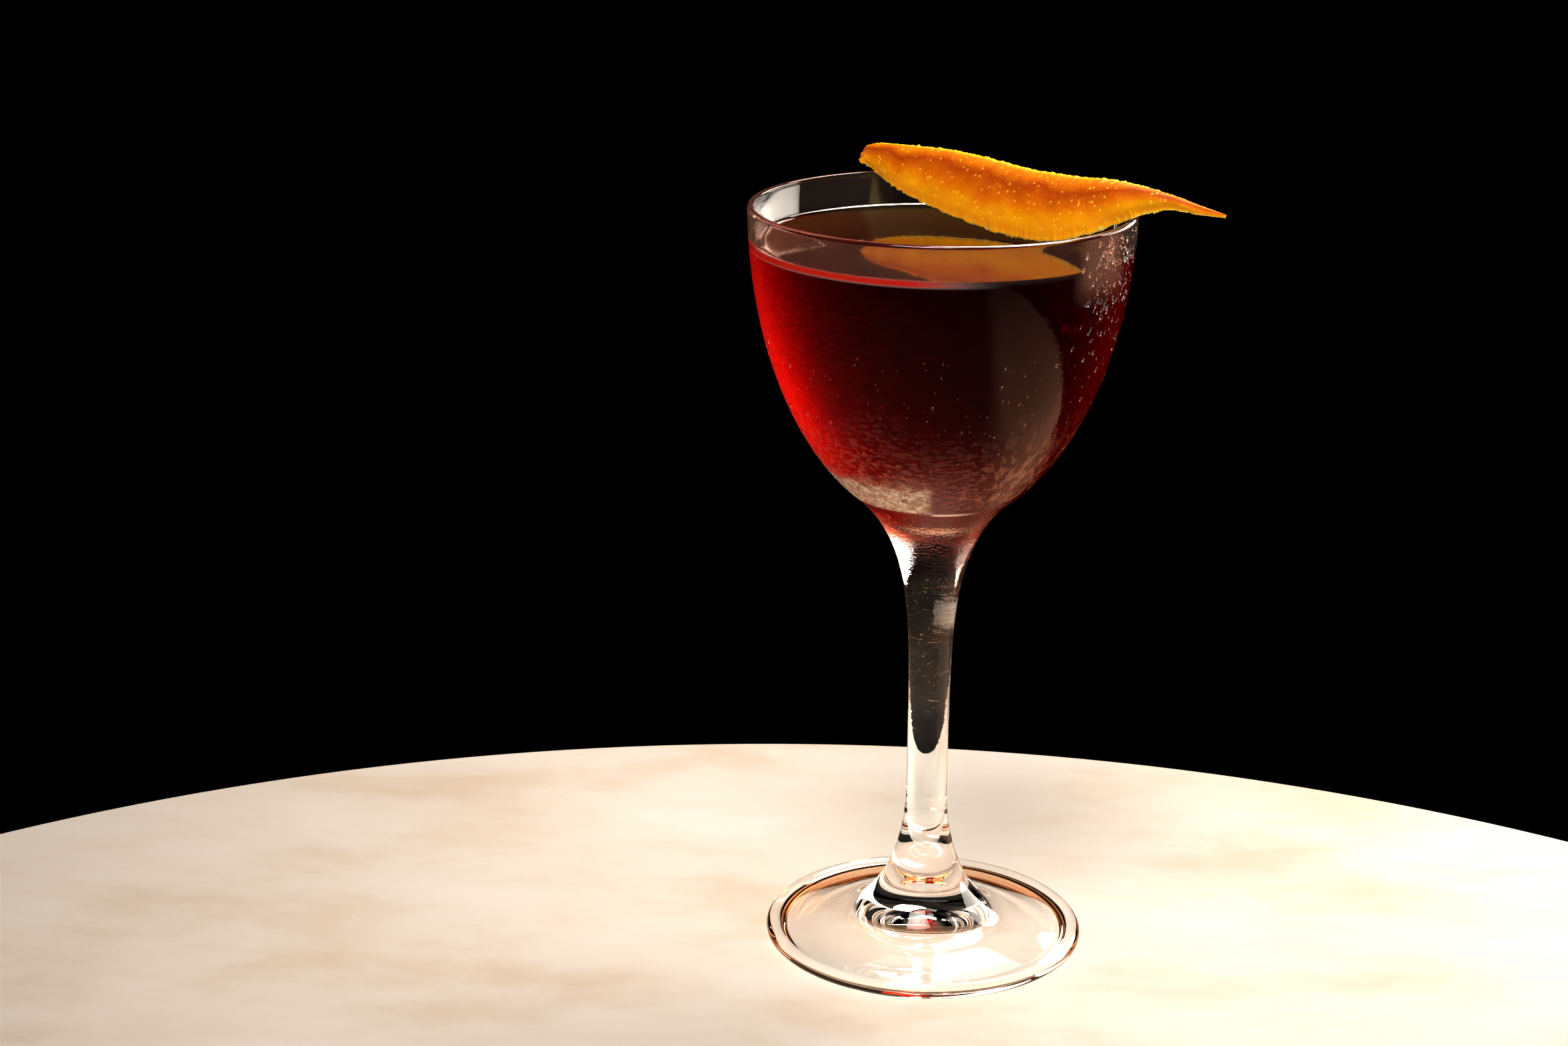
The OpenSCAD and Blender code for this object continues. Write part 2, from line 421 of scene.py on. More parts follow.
# places from left to right, and from front to back, between which they do
FOG_RIGHT = (-0.018, 0.004)
RED_GLOW_LINE_RIGHT = (-0.006, 0.012)
WINDOW_LEFT = (-0.0022, 0.0004)
GLEAM_LEFT = (-0.0012, 0.0002)
GLEAM_RIGHT = (0.003, 0.009)
MIDDLE_STRIP = (0.001, 0.010)
STREAKS_LEFT = (0.004, 0.012)
PATCH_LEFT = (0.0215, 0.0250)
PATCH_RIGHT = (0.0290, 0.0315)
RED_GLOW_LINE_BACK = (-0.006, 0.0)
FRONT_END = (-0.004, 0.0)
PATCH_BACK = (-0.004, 0.002)
FOG_BACK = (-0.004, 0.006)
BACK_START = (-0.004, 0.010)

# heights on the stem
FILM_START = (0.034, 0.052)
STEM_FOG_START = (0.067, 0.077)

# colours of what lies on the glass, and of the painted light in it: the gleam is a painted highlight, and
# the red glows stand in for the drink's light
VEIL_COLOUR = (1.0, 0.60, 0.46)
FOLDS_COLOUR = (1.0, 0.50, 0.30)
FROST_COLOUR = (1.0, 0.78, 0.58)
# painted highlight at the bottom of the bowl
GLEAM_COLOUR = (1.0, 0.98, 0.86)
# painted red glow in the glass below the drink, standing in for the drink's light
RED_GLOW_BELOW_COLOUR = (1.0, 0.30, 0.16)
# painted red glow along the drink's edge, standing in for the drink's light
RED_GLOW_LINE_COLOUR = (1.0, 0.07, 0.04)
STEM_VEIL_COLOUR = (1.0, 0.70, 0.48)


def see_through(name, ior, colour=WHITE):
    """Shader of a smooth clear solid or liquid."""
    return Shader(name, Base_Color=colour, Transmission_Weight=1.0, Roughness=0.0, IOR=ior)


def draw_waves(glass):
    """Normal with the faint waves that drawing leaves in glass."""
    waves = glass.noise(9 * MM, detail=1.0, vector=glass.stretched(1, 1, 0.35))
    return glass.bump(waves, 0.12, 0.12 * MM)


def clear_glass(name, ior=GLASS_IOR):
    """Polished clear glass with faint draw waves and smudges."""
    glass = see_through(name, ior, CLEAR)
    glass.set("Normal", draw_waves(glass))
    smudges = glass.noise(5 * MM, detail=4.0)
    glass.set("Roughness", glass.spread(smudges, 0.6, 0.8, 0.0, 0.035))
    glass.let_lamps_through()
    return glass.material


def joint_skin():
    """Where two stretches of the same fused glass meet: nothing shows."""
    skin = bpy.data.materials.new("joint_skin")
    skin.use_nodes = True
    nodes = skin.node_tree.nodes
    clear = nodes.new("ShaderNodeBsdfTransparent")
    skin.node_tree.links.new(clear.outputs["BSDF"], nodes["Material Output"].inputs["Surface"])
    nodes.remove(nodes["Principled BSDF"])
    return skin


def condensation(glass, x):
    """Wrinkles of the wet film: level ripples on the left and runs on the right."""
    ripples = glass.noise(1.5 * MM, rough=0.6, vector=glass.stretched(1, 1, 2.4))
    streaks = glass.noise(1.7 * MM, rough=0.6, vector=glass.stretched(1, 1, 0.45))
    return glass.between(glass.spread(x, *STREAKS_LEFT), ripples, streaks)


def bowl_zones(glass, wrinkles):
    """Where on the bowl each kind of wetness or painted light lies, by name, as shares from 0 to 1."""
    x, y, z = glass.axes()
    uneven_height = glass.maths("ADD", z, glass.times(glass.noise(11 * MM), 10 * MM))
    torn = glass.times(glass.maths("SUBTRACT", glass.noise(2.5 * MM), 0.5), 5 * MM)
    torn_height = glass.maths("ADD", z, torn)
    torn_x = glass.maths("ADD", x, glass.times(torn, 0.6))
    front = glass.fade(y, *FRONT_END)
    behind = glass.spread(y, *BACK_START)
    wet = glass.fade(z, *WET_END)
    above_drink = glass.spread(z, *FOG_START)

    sweat = glass.times(wet, glass.fade(uneven_height, *SWEAT_THIN, end=HIGH_SHARE))
    folds = glass.times(
        glass.spread(wrinkles, 0.48, 0.58, 0.0, 0.27), front, sweat, glass.spread(z, *FOLDS_START),
        glass.fade(uneven_height, *FOLDS_THIN, end=HIGH_SHARE),
        glass.spread(glass.maths("ABSOLUTE", x), *MIDDLE_STRIP, 0.35, 1.0),
    )
    fog = glass.largest(
        glass.times(above_drink, glass.fade(x, *FOG_RIGHT)),
        glass.times(above_drink, glass.fade(y, *FOG_BACK, start=0.8)),
    )
    frost = glass.times(
        glass.spread(z, *FROST_START), glass.fade(torn_height, *FROST_END),
        glass.largest(glass.fade(torn_x, *WINDOW_LEFT), behind),
    )
    patch = glass.times(
        glass.spread(x, *PATCH_LEFT), glass.fade(x, *PATCH_RIGHT),
        glass.spread(z, *PATCH_START), glass.fade(y, *PATCH_BACK),
    )
    under = glass.fade(z, *UNDER_END)
    # painted highlight at the bottom of the bowl
    gleam = glass.times(
        glass.spread(z, *GLEAM_START), glass.fade(z, *GLEAM_END),
        glass.spread(x, *GLEAM_LEFT), glass.fade(x, *GLEAM_RIGHT), front,
    )
    # painted red glow line along the drink's edge
    line = glass.times(
        glass.spread(z, *RED_GLOW_LINE_START), glass.fade(z, *RED_GLOW_LINE_END),
        glass.fade(x, *RED_GLOW_LINE_RIGHT), glass.fade(y, *RED_GLOW_LINE_BACK),
    )
    return {
        "sweat": sweat,
        "folds": folds,
        "fog": fog,
        "fog_veil": glass.times(fog, glass.fade(y, *BACK_START, 0.09, 0.03)),
        "haze": glass.times(behind, wet),
        "frost": frost,
        "patch": patch,
        "under": under,
        # painted red glow in the glass below the drink
        "red_glow_below": glass.times(under, glass.spread(z, *RED_GLOW_BELOW_START)),
        "gleam": gleam,
        "line": line,
    }


def misted_glass():
    """Outside of the bowl, cold and wet.

    There is breath-like fog above the drink, and fine wrinkled condensation beside it. White frosting lies
    round the bottom of the bowl, with a wiped window in front. A thick haze on the far side scatters the
    light that comes through the drink. Painted light is added: a red glow line along the drink's edge, a
    painted highlight at the bottom of the bowl, and a red glow in the glass below it, the red ones standing
    in for the drink's light.
    """
    glass = see_through("misted_glass", GLASS_IOR, CLEAR)
    wrinkles = condensation(glass, glass.axes()[0])
    zones = bowl_zones(glass, wrinkles)
    frost, under = zones["frost"], zones["under"]

    beaded = glass.largest(glass.times(zones["sweat"], 0.35), frost, glass.times(under, 0.4))
    normal = draw_waves(glass)
    normal = glass.bump(glass.times(wrinkles, zones["sweat"]), 0.8, 0.20 * MM, before=normal)
    normal = glass.bump(glass.times(glass.cells(BEAD_SIZE), beaded), 0.9, 0.20 * MM, before=normal)
    glass.set("Normal", normal)
    dullness = {"frost": 0.35, "haze": 0.48, "under": 0.12, "fog": 0.06}
    dulled = [glass.times(zones[zone], roughness) for zone, roughness in dullness.items()]
    glass.set("Roughness", glass.largest(*dulled))

    grain = glass.noise(1.3 * MM, detail=4.0, rough=0.8, vector=glass.stretched(1, 1, 1.5))
    grained = glass.times(frost, glass.spread(grain, 0.44, 0.56, 0.45, 1.0))
    veil = glass.largest(zones["fog_veil"], grained, zones["folds"], glass.times(zones["patch"], 0.30))
    # the painted highlight and the painted red glow line hide the clear glass, as the veil does
    covered = glass.largest(veil, zones["gleam"], glass.times(zones["line"], 0.6))
    glass.set("Transmission Weight", glass.maths("SUBTRACT", 1.0, covered))

    colour = glass.mix(glass.spread(veil, 0.02, 0.10), CLEAR[:3], VEIL_COLOUR)
    colour = glass.mix(glass.spread(zones["folds"], 0.02, 0.08), colour, FOLDS_COLOUR)
    # frost is the condensation's own colour; the gleam and the red glows are painted light
    painted = {"frost": FROST_COLOUR, "gleam": GLEAM_COLOUR, "red_glow_below": RED_GLOW_BELOW_COLOUR, "line": RED_GLOW_LINE_COLOUR}
    for zone, paint in painted.items():
        colour = glass.mix(zones[zone], colour, paint)
    glass.set("Base Color", colour)
    glass.let_lamps_through()
    return glass.material


def wet_stem_glass():
    """Stem: fogged at the top, with a thin wet film over the upper half and clear below."""
    glass = see_through("wet_stem_glass", GLASS_IOR, CLEAR)
    z = glass.axes()[2]
    fog = glass.spread(z, *STEM_FOG_START)
    patchy = glass.spread(glass.noise(5 * MM, detail=4.0), 0.3, 0.65, 0.3, 1.0)
    film = glass.times(glass.spread(z, *FILM_START), patchy)

    runs = glass.noise(1.0 * MM, vector=glass.stretched(1, 1, 0.4))
    normal = draw_waves(glass)
    normal = glass.bump(glass.times(runs, film), 0.7, 0.12 * MM, before=normal)
    normal = glass.bump(glass.times(glass.cells(BEAD_SIZE), fog), 0.8, 0.15 * MM, before=normal)
    glass.set("Normal", normal)
    glass.set("Roughness", glass.largest(glass.times(fog, 0.14), glass.times(film, 0.07)))

    # cream specks in the film, painted in as small glints
    glint_specks = glass.noise(0.6 * MM, detail=2.0, vector=glass.stretched(1, 1, 1.6))
    glint_speckled = glass.maths("ADD", 0.05, glass.spread(glint_specks, 0.64, 0.70, 0.0, 0.55))
    veil = glass.times(film, glass.maths("SUBTRACT", 1.0, fog), glint_speckled)
    glass.set("Transmission Weight", glass.maths("SUBTRACT", 1.0, veil))
    glass.set("Base Color", glass.mix(glass.spread(veil, 0.01, 0.06), CLEAR[:3], STEM_VEIL_COLOUR))
    glass.let_lamps_through()
    return glass.material


# ---------------------------------------------------------------- glass pieces

def glass_bowl(clear, misted, wetted, skin):
    wall = outer_wall()
    lip_outer = wall[-1]
    lip_inner = ellipse_point(INNER_RADIUS, INNER_DROP, INNER_LIP_ANGLE)
    lip_centre = (lip_outer + lip_inner) / 2
    lip_radius = (lip_outer[0] - lip_inner[0]) / 2
    lip_turns = (math.pi * k / 14 for k in range(1, 15))
    lip = [lip_centre + lip_radius * np.array([math.cos(a), math.sin(a)]) for a in lip_turns]
    dry = ellipse_arc(INNER_RADIUS, INNER_DROP, INNER_LIP_ANGLE, DRINK_EDGE_ANGLE, 14)[1:]
    wet = ellipse_arc(INNER_RADIUS, INNER_DROP, DRINK_EDGE_ANGLE, math.pi / 2, 64)[1:]
    wet[-1] = np.array([0.0, wet[-1][1]])
    outline = [np.array([0.0, wall[0][1]])] + wall + lip + dry + wet
    slots = [0] + [1] * (len(wall) - 1) + [2] * (len(lip) + len(dry)) + [3] * len(wet)
    return lathe("glass_bowl", outline, slots, [skin, misted, clear, wetted], sharp=[1])


def glass_stem(clear, skin):
    flare = curve_part(UPPER_FLARE, 1, BOWL_SHARE, 40)
    low_flare = curve_part(LOWER_FLARE, STEM_SHARE, 0, 22)
    outline = [np.array([0.0, low_flare[0][1]])] + low_flare + flare + [np.array([0.0, flare[-1][1]])]
    slots = [0] + [1] * (len(low_flare) + len(flare) - 1) + [0]
    return lathe("glass_stem", outline, slots, [skin, clear], sharp=[1, len(outline) - 2])


def glass_foot(clear, skin):
    rest_inner = np.array([ROLL_CENTRE[0] - REST_WIDTH, 0.0])
    hollow = [
        rest_inner + np.array([-ROUND_WIDTH, ROUND_HEIGHT]),
        SLOPE_POINT,
        (LEVEL_RADIUS, HOLLOW_HEIGHT),
        (0, HOLLOW_HEIGHT),
    ]
    under = [bezier(hollow, 1 - k / 40) for k in range(41)]
    under[0] = np.array([0.0, HOLLOW_HEIGHT])
    fillet = [rest_inner + np.array([-ROUND_WIDTH / 2, ROUND_HEIGHT / 4]), rest_inner]
    roll = [roll_point(math.radians(-90 + (90 + ROLL_START_ANGLE) * k / 36)) for k in range(37)]
    disc = curve_part(LOWER_FLARE, 1, STEM_SHARE, 30)
    outline = under + fillet + roll + disc + [np.array([0.0, disc[-1][1]])]
    slots = [1] * (len(outline) - 2) + [0]
    return lathe("glass_foot", outline, slots, [skin, clear], sharp=[len(outline) - 2])


# ---------------------------------------------------------------- drink

ABSORPTION_DENSITY = 620.0
ABSORPTION_COLOUR = (0.966, 0.76, 0.0, 1.0)
DRINK_GAP = 0.03 * MM
SKIN_DEPTH = 0.12 * MM
SKIN_SHARE = 0.8
MIRROR_IOR = 2.6
SWELL_SIZE = 11 * MM
SWELL_HEIGHT = 0.025 * MM
WETTED_RADIUS = ellipse_point(INNER_RADIUS, INNER_DROP, DRINK_EDGE_ANGLE)[0]


def meniscus(radius):
    """Height of the drink's surface at a distance from the axis."""
    share = min(1.0, max(0.0, (WETTED_RADIUS - radius) / CLIMB_WIDTH))
    return SURFACE_Z + CLIMB_HEIGHT * (1 - share) ** 2


def surface_radii():
    """Distances from the axis of the surface's rings, from its edge inward, closest where it climbs."""
    edge = WETTED_RADIUS - DRINK_GAP
    climb = [edge - CLIMB_WIDTH * (k / 16) ** 1.3 for k in range(17)]
    middle = [climb[-1] * (1 - k / 60) for k in range(1, 61)]
    return climb + middle


def drink_body():
    """The liquid itself: it only absorbs, because the wetted wall and the surface skin bend the light."""
    liquid = see_through("drink_liquid", 1.0)
    depth = liquid.node("VolumeAbsorption", Color=ABSORPTION_COLOUR, Density=ABSORPTION_DENSITY)
    liquid.link(depth.outputs["Volume"], liquid.output.inputs["Volume"])
    wall = ellipse_arc(INNER_RADIUS - DRINK_GAP, INNER_DROP - DRINK_GAP, math.pi / 2, DRINK_EDGE_ANGLE, 64)
    wall[0] = np.array([0.0, wall[0][1]])
    top = [np.array([r, meniscus(r) - SKIN_DEPTH]) for r in surface_radii()]
    wall = [p for p in wall if p[1] < top[0][1]]
    outline = wall + top
    return lathe("drink_body", outline, [0] * (len(outline) - 1), [liquid.material])


def drink_surface():
    """Skin of the drink, where light bends between liquid and air, with a lazy swell and fine ripples.

    Its coat, with an index far above a liquid's, strengthens the mirror image of the peel.
    """
    top_face = see_through("drink_surface", DRINK_IOR)
    swell = top_face.noise(6 * MM, detail=1.0)
    ripples = top_face.noise(1.6 * MM, detail=2.0, vector=top_face.stretched(0.7, 1.5, 1))
    normal = top_face.bump(swell, 0.15, 0.1 * MM)
    top_face.set("Normal", top_face.bump(ripples, 0.5, 0.06 * MM, before=normal))
    top_face.set("Coat Weight", 1.0)
    top_face.set("Coat IOR", MIRROR_IOR)
    top_face.set("Coat Roughness", 0.0)
    under_face = see_through("drink_under_skin", 1.0)
    radii = surface_radii()
    top = [np.array([r, meniscus(r)]) for r in radii]
    under = [np.array([r, meniscus(r) - SKIN_SHARE * SKIN_DEPTH]) for r in reversed(radii)]
    slots = [1] * len(under) + [0] * (len(top) - 1)

    def swelled(v):
        calm = max(0.0, 1 - math.hypot(v[0], v[1]) / (INNER_RADIUS - CLIMB_WIDTH))
        lift = noise.noise(Vector((v[0], v[1], 0.0)) / SWELL_SIZE) * SWELL_HEIGHT * min(1.0, 4 * calm)
        return (v[0], v[1], v[2] + lift)

    return lathe("drink_surface", under + top, slots, [top_face.material, under_face.material],
                 sharp=[len(under) - 1, len(under)], place=swelled)


# ---------------------------------------------------------------- drops on the glass

OUTER_WALL = np.array(outer_wall())
DROP_SUNK = 0.03 * MM
DROP_FLATNESS = 0.98
SMEAR_LANES = (-0.62, -0.60, -0.36)
SMEAR_WANDER = 5.0
SMEAR_LOWEST = 0.105
SMEAR_DRY_LIP = 1.5 * MM
MIST_HEIGHTS = (0.082, 0.118)
BIG_DROP_SHARE = 0.06


def wall_frame(angle, height):
    """Point of the bowl's outer wall, with its outward normal and its level and downward tangents."""
    step = 0.3 * MM
    below, radius, above = (float(np.interp(z, OUTER_WALL[:, 1], OUTER_WALL[:, 0]))
                            for z in (height - step, height, height + step))
    way = Vector((math.cos(angle), math.sin(angle), 0))
    level = Vector((-math.sin(angle), math.cos(angle), 0))
    down = (way * (below - above) + Vector((0, 0, -2 * step))).normalized()
    out = down.cross(level).normalized()
    if out.dot(way) < 0:
        out = -out
    return way * radius + Vector((0, 0, height)), out, level, down


def water():
    drop = see_through("water_drop", WATER_IOR)
    drop.set("Normal", drop.bump(drop.noise(0.6 * MM), 0.1, 0.02 * MM))
    drop.let_lamps_through()
    return drop.material


def drops(name, list_of_drops, material, segments=12, rings=4):
    """Closed water caps, which dip a little into the glass.

    Each drop is (angle, height, half width, half length, bulge, trail).
    """
    vertices, faces = [], []
    for angle, height, half_width, half_length, bulge, trail in list_of_drops:
        centre, out, level, down = wall_frame(angle, height)
        first = len(vertices)
        for ring in range(rings):
            share = 1 - ring / rings
            rise = bulge * math.sqrt(1 - share ** 2 * DROP_FLATNESS) if ring else 0.0
            for k in range(segments):
                turn = 2 * math.pi * k / segments
                across, along = share * math.cos(turn), share * math.sin(turn)
                narrow = 1 - trail * 0.5 * (1 - along)
                spot = centre + level * (half_width * across * narrow) + down * (half_length * along)
                vertices.append(spot + out * (rise - DROP_SUNK))
        tip = len(vertices)
        vertices.append(centre + out * (bulge - DROP_SUNK))
        for ring in range(rings - 1):
            for k in range(segments):
                n = (k + 1) % segments
                a, b = first + ring * segments, first + (ring + 1) * segments
                faces.append((a + k, b + k, b + n, a + n))
        last = first + (rings - 1) * segments
        for k in range(segments):
            faces.append((last + k, tip, last + (k + 1) % segments))
        faces.append([first + k for k in range(segments)])
    return new_piece(name, vertices, faces, [material])


def smear_drops(rng):
    """Drops wiped and run together on the right of the bowl, just under the lip."""
    found = []
    for _ in range(210):
        lane = rng.choice(SMEAR_LANES)
        angle = math.radians(rng.gauss(math.degrees(lane), SMEAR_WANDER))
        height = GLASS_HEIGHT - abs(rng.gauss(9, 6)) * MM
        size = rng.uniform(0.14, 0.42) * MM
        if SMEAR_LOWEST < height < GLASS_HEIGHT - SMEAR_DRY_LIP:
            length = size * rng.uniform(1.0, 1.8)
            found.append((angle, height, size, length, size * 0.55, rng.uniform(0, 0.5)))
    return found


def mist_drops(rng):
    """Fine condensation over the lower bowl."""
    found = []
    for _ in range(900):
        angle = rng.uniform(0, 2 * math.pi)
        height = rng.uniform(*MIST_HEIGHTS)
        size = rng.uniform(0.07, 0.20) * MM * (2 if rng.random() < BIG_DROP_SHARE else 1)
        found.append((angle, height, size, size * rng.uniform(1.0, 1.3), size * 0.5, 0.0))
    return found


# ---------------------------------------------------------------- peel

def unit(v):
    return v / np.linalg.norm(v)


def lip_point(degrees):
    """Point a little above the lip's middle line, at an angle from +X."""
    a = math.radians(degrees)
    return np.array([LIP_MID_RADIUS * math.cos(a), LIP_MID_RADIUS * math.sin(a), GLASS_HEIGHT + PEEL_GAP])


PEEL_START = lip_point(PEEL_START_ANGLE)
ALONG = unit(lip_point(PEEL_END_ANGLE) - PEEL_START)
ACROSS = (math.cos(math.radians(PEEL_TILT)) * np.array([-ALONG[1], ALONG[0], 0.0])
          + math.sin(math.radians(PEEL_TILT)) * np.array([0.0, 0.0, 1.0]))
OUTWARD = np.cross(ALONG, ACROSS)

PORE_SIZE = 1.2 * MM
PORE_RADIUS = 0.42
PORE_DEPTH = 0.09 * MM
SKIN_SWELL_SIZE = 5 * MM
SKIN_SWELL = 0.10 * MM

TEAR_SIZE = 1.6 * MM
TEAR_EDGE = 8
NARROW_WIDTH = 4 * MM
END_TEAR_SIZE = 1.2 * MM
END_TEAR_DEPTH = 0.8 * MM
END_TEAR_REACH = 1 / 14


def smooth_station(share):
    """Distance along, lower edge and upper edge at a share of the peel's length, in metres."""
    last = len(PEEL_STATIONS) - 1
    x = share * last
    k = min(int(x), last - 1)
    f = x - k
    a, b, c, d = (np.array(PEEL_STATIONS[min(max(i, 0), last)]) for i in (k - 1, k, k + 1, k + 2))
    value = 2 * b + (c - a) * f + (2 * a - 5 * b + 4 * c - d) * f * f + (3 * b - a - 3 * c + d) * f ** 3
    return value * 0.5 * MM


def sheet_lift(u, w):
    """How far the sheet bows and waves out of its plane, at shares of its length and width."""
    return (PEEL_BOW * math.sin(math.pi * u) * (1 - (2 * w - 1) ** 2)
            + PEEL_WAVE * math.sin(2 * math.pi * u) * (w - WAVE_PIVOT))


def body_share(u, w):
    """Share of the full thickness, which thins out towards all four edges."""
    return 0.3 + 0.7 * (1 - (2 * w - 1) ** 4) * min(1.0, 6 * u + 0.2, 4 * (1 - u) + 0.1)


def ragged(position, seed, size, depth):
    """Depth of a torn cut edge at a distance along it."""
    coarse = noise.noise(Vector((position / size, seed, 0.0)))
    fine = noise.noise(Vector((position / (size * 0.33), seed + 7.0, 0.0)))
    tooth = abs(noise.noise(Vector((position / (size * 0.35), seed + 9.0, 0.0))))
    return depth * (0.6 * coarse + 0.5 * fine + 1.3 * tooth)


def pore(s, t):
    """How deep in an oil gland's pit a point of the skin lies, from 0 to 1."""
    distances, _ = noise.voronoi(Vector((s / PORE_SIZE, t / PORE_SIZE, 3.0)))
    return max(0.0, 1 - distances[0] / PORE_RADIUS)


def zest_relief(s, t):
    """Swells and pits of the skin, as extra height."""
    swell = noise.noise(Vector((s, t, 0.0)) / SKIN_SWELL_SIZE) * SKIN_SWELL
    return swell - pore(s, t) * PORE_DEPTH


def peel_grid(name, steps, lanes, low, high, material, edge_depth, seed, relief=None):
    """Closed sheet between two heights over the peel's under face, with torn cut edges.

    relief(s, t) is the extra height of the upper face, if it is given. The attributes cut_share, pit and
    height_share are stored for the material.
    """
    vertices, cut_share, pits, heights = [], [], [], []
    for face, height in enumerate((low, high)):
        for i in range(steps + 1):
            u = i / steps
            s, t_low, t_high = smooth_station(u)
            narrow = min(1.0, (t_high - t_low) / NARROW_WIDTH)
            low_tear = ragged(s, seed, TEAR_SIZE, edge_depth) * narrow
            high_tear = ragged(s, seed + 3.0, TEAR_SIZE, edge_depth * 0.5) * narrow
            for j in range(lanes + 1):
                w = j / lanes
                torn = high_tear * w ** TEAR_EDGE - low_tear * (1 - w) ** TEAR_EDGE
                t = t_low + (t_high - t_low) * w + torn
                near_end = max(0.0, 1 - u / END_TEAR_REACH)
                end_cut = ragged(t, seed + 5.0, END_TEAR_SIZE, END_TEAR_DEPTH) * near_end
                extra = relief(s, t) if face and relief else 0.0
                lift = sheet_lift(u, w) + (height + extra) * body_share(u, w)
                vertices.append(PEEL_START + (s + end_cut) * ALONG + t * ACROSS + lift * OUTWARD)
                cut_share.append(min(w, 1 - w) * 2)
                pits.append(pore(s, t) if face else 0.0)
                heights.append(w)
    across_count = lanes + 1
    half = (steps + 1) * across_count
    faces = []
    for i in range(steps):
        for j in range(lanes):
            a = i * across_count + j
            faces.append((a, a + 1, a + across_count + 1, a + across_count))
            faces.append((half + a, half + a + across_count, half + a + across_count + 1, half + a + 1))
    border = [i * across_count for i in range(steps + 1)]
    border += [steps * across_count + j for j in range(1, lanes + 1)]
    border += [(steps - i) * across_count + lanes for i in range(1, steps + 1)]
    border += [lanes - j for j in range(1, lanes)]
    for k, a in enumerate(border):
        b = border[(k + 1) % len(border)]
        faces.append((a, b, half + b, half + a))
    piece = new_piece(name, vertices, faces, [material])
    for key, values in (("cut_share", cut_share), ("pit", pits), ("height_share", heights)):
        stored = piece.data.attributes.new(key, "FLOAT", "POINT")
        stored.data.foreach_set("value", np.array(values, np.float32))
    return piece


# colours of the zest from its lower edge to its upper edge, each with its share of the width: its own
# orange with painted shade, lighter at the lower edge and darkest in a painted shade band in the upper
# middle
ZEST_TONES_AND_PAINTED_SHADE = [
    (0.15, (0.93, 0.54, 0.007)),
    (0.42, (0.76, 0.25, 0.003)),
    (0.68, (0.50, 0.10, 0.001)),
    (0.92, (0.80, 0.30, 0.003)),
]
# painted glow of light shining through the thin cut edges
ZEST_EDGE_GLOW_COLOUR = (0.98, 0.66, 0.018)
# pale dots at the oil glands, painted as light shining through them
ZEST_GLAND_GLOW_COLOUR = (1.0, 0.72, 0.10)
PITH_TONES = [(0.3, (0.93, 0.66, 0.16)), (0.7, (0.97, 0.80, 0.34))]


def zest_material():
    skin = Shader("zest_skin", Roughness=0.38, IOR=1.45)
    pit = skin.attribute("pit")
    cut = skin.attribute("cut_share")
    height = skin.attribute("height_share")
    blotches = skin.noise(6 * MM, detail=3.0)
    level = skin.maths("ADD", height, skin.times(skin.maths("SUBTRACT", blotches, 0.5), 0.5))
    # the zest's own orange, with painted shade across its width and random blotches of its own
    shaded_tone = skin.ramp(level, ZEST_TONES_AND_PAINTED_SHADE)
    # painted glow along the thin cut edges
    edge_glowed = skin.mix(skin.fade(cut, 0.0, 0.16), shaded_tone, ZEST_EDGE_GLOW_COLOUR)
    # painted glow at the oil glands
    gland_glowed = skin.mix(skin.spread(pit, 0.30, 0.80, 0.0, 0.8), edge_glowed, ZEST_GLAND_GLOW_COLOUR)
    skin.set("Base Color", gland_glowed)
    skin.set("Subsurface Weight", 0.5)
    skin.set("Subsurface Radius", (1.0, 0.7, 0.1))
    skin.set("Subsurface Scale", 0.5 * MM)
    grain = skin.noise(0.35 * MM, detail=3.0)
    skin.set("Normal", skin.bump(grain, 0.6, 0.10 * MM))
    skin.set("Roughness", skin.spread(grain, 0.3, 0.7, 0.3, 0.5))
    return skin.material


def pith_material():
    white = Shader("pith_white", Roughness=0.75, IOR=1.4)
    blotches = white.noise(2.2 * MM, detail=4.0)
    white.set("Base Color", white.ramp(blotches, PITH_TONES))
    white.set("Subsurface Weight", 0.4)
    white.set("Subsurface Radius", (1.0, 0.7, 0.35))
    white.set("Subsurface Scale", 2.0 * MM)
    fibres = white.noise(0.5 * MM, detail=4.0)
    white.set("Normal", white.bump(fibres, 0.6, 0.15 * MM))
    return white.material


# ---------------------------------------------------------------- stage

TABLE_CENTRE = Vector((-0.0122, -0.178, 0.0))
TABLE_RADIUS = 0.272
TABLE_THICKNESS = 0.02
TABLE_DROP = 0.05 * MM
TABLE_EDGE = 2 * MM
STONE_TONES = [(0.34, (0.555, 0.475, 0.41)), (0.5, (0.61, 0.56, 0.52)), (0.68, (0.64, 0.605, 0.58))]

# black sheet that only reflections see: painted shade on the glass's front
CARD_EDGE = 0.055
CARD_FADE = 0.024
CARD_SLANT = 0.35
CARD_HEIGHT = 1 * MM
RING_REACH = (FOOT_RADIUS * 1.1, FOOT_RADIUS * 1.6)
# warm tint painted over the table where the glass reflects it
REFLECTION_WARM_TINT = (1.0, 0.74, 0.54, 1.0)


